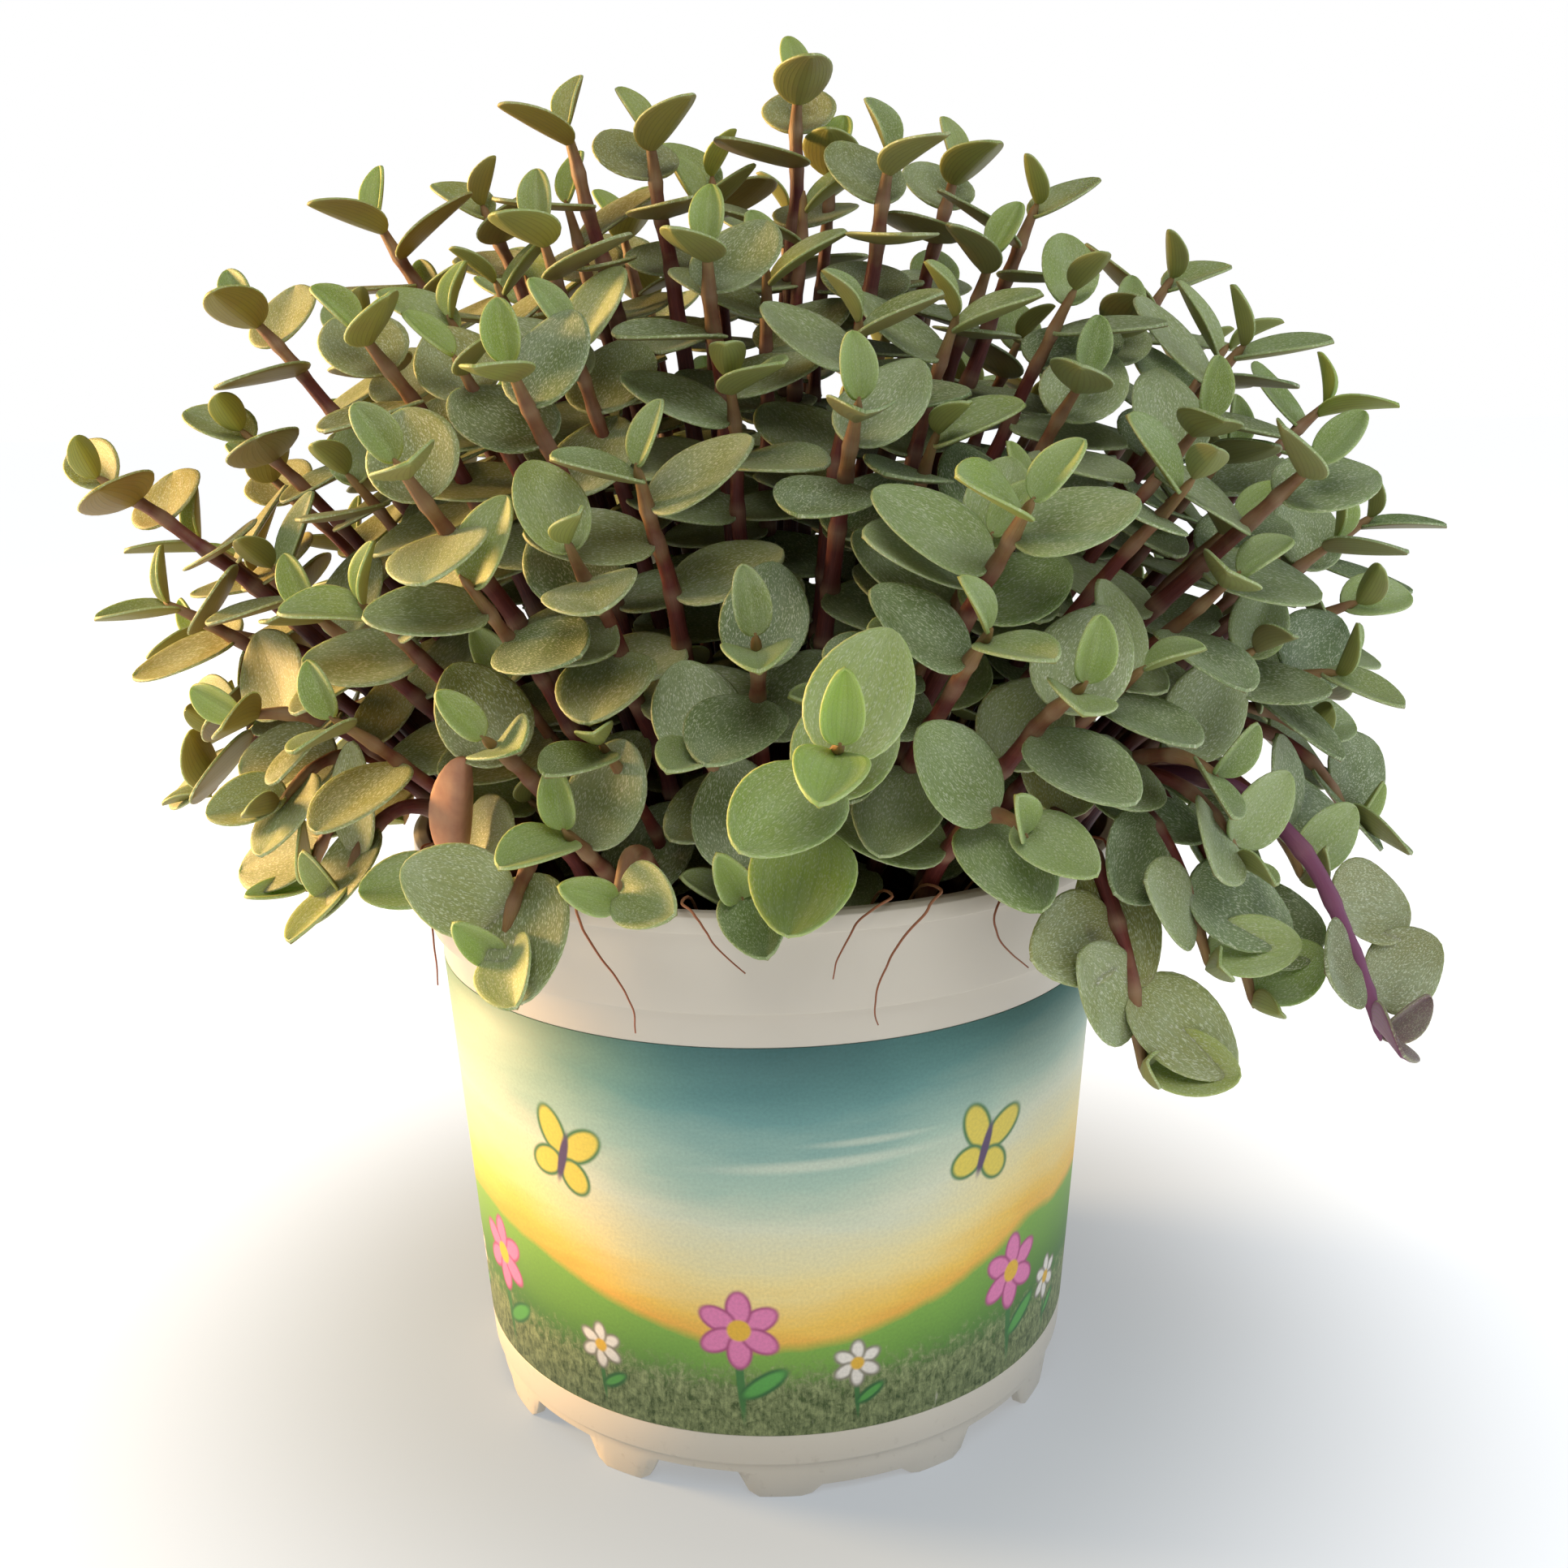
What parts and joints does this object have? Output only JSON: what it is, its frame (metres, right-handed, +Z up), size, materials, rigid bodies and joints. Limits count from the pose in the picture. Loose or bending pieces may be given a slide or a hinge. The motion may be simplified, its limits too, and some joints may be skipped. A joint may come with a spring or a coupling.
{
  "type": "potted turtle vine",
  "caption": "Turtle vine with small fleshy leaves on upright maroon stems, growing from potting mix in a tapered plastic pot with a picture label and a notched foot.",
  "frame": {"origin": "on the pot's axis at table level, under the middle of the whole plant", "axes": "+Z up along the pot's axis; -Y is the side the plant shows best; +X is to the right seen from there"},
  "size_m": [0.2318, 0.1984, 0.2245],
  "materials": {
    "pot_plastic": "satin injection-moulded polypropylene, warm white",
    "label_film": "printed film moulded into the wall, sky over a meadow",
    "potting_mix": "moist peat and bark crumbs, very rough",
    "leaf": "living leaf, satin blue-green with fine pale specks, on maroon stems"
  },
  "bodies": {
    "root": {"pot": "pot_plastic", "picture_label": "label_film", "potting_mix": "potting_mix", "shoot_rim_1": "leaf", "shoot_rim_2": "leaf", "shoot_rim_3": "leaf", "shoot_rim_4": "leaf", "shoot_rim_5": "leaf", "shoot_rim_6": "leaf", "shoot_rim_7": "leaf", "shoot_rim_8": "leaf", "shoot_crown_1": "leaf", "shoot_crown_2": "leaf", "shoot_crown_3": "leaf", "shoot_crown_4": "leaf", "shoot_crown_5": "leaf", "shoot_crown_6": "leaf", "shoot_crown_7": "leaf", "shoot_crown_8": "leaf", "shoot_crown_9": "leaf", "shoot_crown_10": "leaf", "shoot_front_1": "leaf", "shoot_front_2": "leaf", "shoot_front_3": "leaf", "shoot_front_4": "leaf", "shoot_front_5": "leaf", "shoot_front_6": "leaf", "shoot_front_7": "leaf", "shoot_front_8": "leaf", "shoot_front_9": "leaf", "shoot_front_10": "leaf", "shoot_left_1": "leaf", "shoot_left_2": "leaf", "shoot_left_3": "leaf", "shoot_left_4": "leaf", "shoot_left_5": "leaf", "shoot_left_6": "leaf", "shoot_left_7": "leaf", "shoot_left_8": "leaf", "shoot_right_1": "leaf", "shoot_right_2": "leaf", "shoot_right_3": "leaf", "shoot_right_4": "leaf", "shoot_right_5": "leaf", "shoot_right_6": "leaf", "shoot_right_7": "leaf", "shoot_right_8": "leaf", "shoot_right_9": "leaf", "shoot_back_1": "leaf", "shoot_back_2": "leaf", "shoot_back_3": "leaf", "shoot_back_4": "leaf", "shoot_back_5": "leaf", "shoot_back_6": "leaf", "shoot_back_7": "leaf", "shoot_back_8": "leaf", "shoot_back_9": "leaf", "shoot_back_10": "leaf", "shoot_back_11": "leaf", "shoot_back_12": "leaf"}
  },
  "joints": []
}
